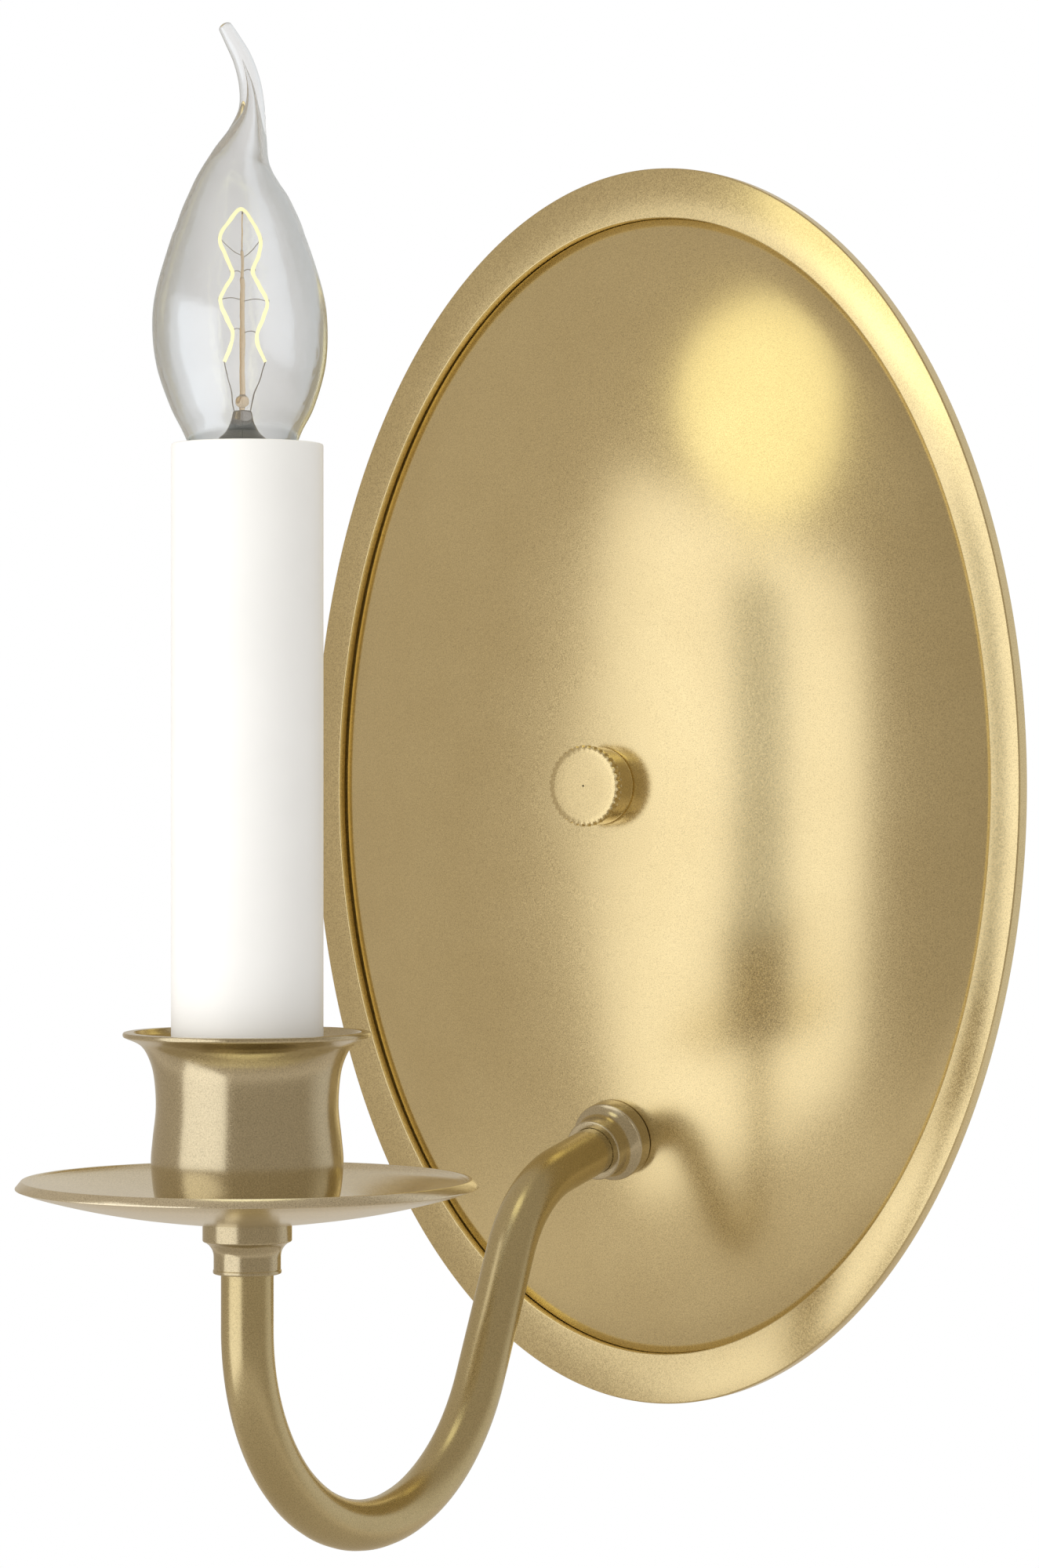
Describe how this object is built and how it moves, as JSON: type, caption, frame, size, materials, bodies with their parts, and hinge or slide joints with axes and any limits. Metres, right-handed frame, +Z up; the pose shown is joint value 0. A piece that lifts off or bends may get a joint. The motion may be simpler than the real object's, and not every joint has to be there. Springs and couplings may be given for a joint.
{
  "type": "wall sconce",
  "caption": "Wall sconce with a domed oval backplate, a J-shaped arm, a dish and cup, and an electric candle with a bent-tip bulb.",
  "frame": {"origin": "centre of the plate's stud on the wall plane", "axes": "+Z up, +Y into the wall, so the sconce stands out of the wall along -Y and +X is to the viewer's right"},
  "size_m": [0.1686, 0.1859, 0.2801],
  "materials": {
    "satin_brass": "satin, fine metallic grain",
    "zinc_steel": "zinc plated",
    "ground_green": "green dyed screw",
    "fibre_black": "fibre washer",
    "socket_plastic": "moulded thermoset",
    "nickel_shell": "rolled nickel-plated shell",
    "contact_brass": "plain brass contact",
    "sleeve_cream": "cream candle sleeve, satin",
    "cap_glass_black": "black glass insulator",
    "clear_glass": "clear blown glass",
    "support_glass": "drawn glass rod",
    "support_wire": "fine molybdenum and nickel wire",
    "filament": "glowing carbon loop, warm white",
    "lead_black": "black insulated lead",
    "lead_white": "white insulated lead"
  },
  "bodies": {
    "wall_bracket": {"mounting_strap": "zinc_steel", "center_stud": "zinc_steel", "stud_lock_nut": "zinc_steel", "ground_screw": "ground_green"},
    "nut_carrier": {"nut_washer": "fibre_black"},
    "knurled_nut": {"thumb_nut": "satin_brass"},
    "fixture": {"backplate_rim": "satin_brass", "backplate_dome": "satin_brass", "arm_flange": "satin_brass", "arm_nipple": "zinc_steel", "arm_lock_washer": "zinc_steel", "arm_lock_nut": "zinc_steel", "arm_tube": "satin_brass", "arm_neck": "satin_brass", "lead_hot": "lead_black", "lead_neutral": "lead_white", "cup_nipple": "zinc_steel", "bobeche": "satin_brass", "candle_cup": "satin_brass", "cup_washer": "zinc_steel", "cup_lock_nut": "zinc_steel", "socket_bracket": "zinc_steel", "socket_body": "socket_plastic", "bracket_rivets": "nickel_shell", "terminal_screws": "zinc_steel", "socket_shell": "nickel_shell", "socket_contact": "contact_brass"},
    "sleeve": {"candle_sleeve": "sleeve_cream"},
    "bulb_carrier": {"bulb_contact": "contact_brass"},
    "bulb": {"bulb_insulator": "cap_glass_black", "bulb_cap": "nickel_shell", "bulb_glass": "clear_glass", "bulb_stem": "clear_glass", "bulb_rod": "support_glass", "bulb_supports": "support_wire", "bulb_filament": "filament", "bulb_leads": "support_wire"}
  },
  "joints": [
    {"name": "plate_level", "type": "hinge", "parent": "wall_bracket", "child": "fixture", "pos_m": [0, 0, 0], "axis": [0, -1, 0], "range_deg": [-10, 10]},
    {"name": "nut_travel", "type": "slide", "parent": "wall_bracket", "child": "nut_carrier", "axis": [0, -1, 0], "range_m": [0, 0.00476]},
    {"name": "nut_spin", "type": "hinge", "parent": "nut_carrier", "child": "knurled_nut", "pos_m": [0, 0, 0], "axis": [0, -1, 0], "range_deg": [0, 1350]},
    {"name": "sleeve_lift", "type": "slide", "parent": "fixture", "child": "sleeve", "axis": [0, 0, 1], "range_m": [0, 0.0025]},
    {"name": "bulb_travel", "type": "slide", "parent": "fixture", "child": "bulb_carrier", "axis": [0, 0, 1], "range_m": [0, 0.01016]},
    {"name": "bulb_spin", "type": "hinge", "parent": "bulb_carrier", "child": "bulb", "pos_m": [0, -0.1443, 0], "axis": [0, 0, 1], "range_deg": [0, 1440]}
  ],
  "couplings": [
    {"joint": "nut_travel", "follows": "nut_spin", "m_per_rad": 0.00020213},
    {"joint": "bulb_travel", "follows": "bulb_spin", "m_per_rad": 0.00040425}
  ]
}
